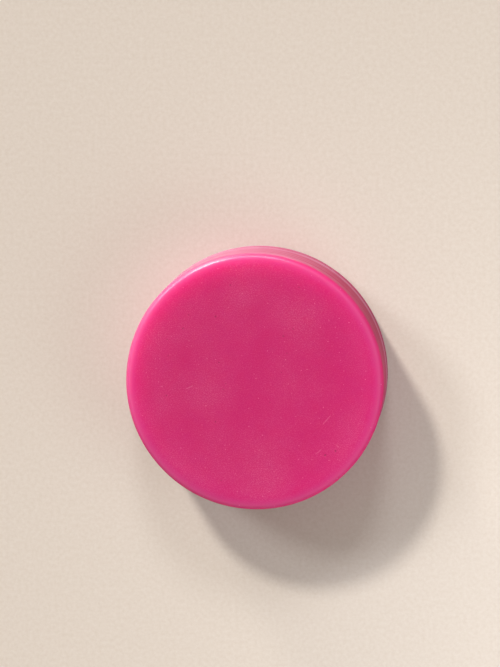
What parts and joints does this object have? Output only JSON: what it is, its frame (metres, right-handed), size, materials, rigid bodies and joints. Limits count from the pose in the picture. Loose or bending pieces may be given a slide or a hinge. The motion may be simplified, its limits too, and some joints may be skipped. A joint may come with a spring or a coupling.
{
  "type": "conditioner bar",
  "caption": "Round solid hair conditioner bar, cast in one piece, with a flat face, softly rounded edges and a slightly drafted wall.",
  "frame": {"origin": "centre of the flat poured back, which the bar rests on", "axes": "+Z along the bar's axis, from the back to the moulded front face; the bar is round, so X and Y are any pair across it"},
  "size_m": [0.0604, 0.0604, 0.0191],
  "materials": {
    "conditioner": "satin"
  },
  "bodies": {
    "root": {"conditioner_bar": "conditioner"}
  },
  "joints": []
}
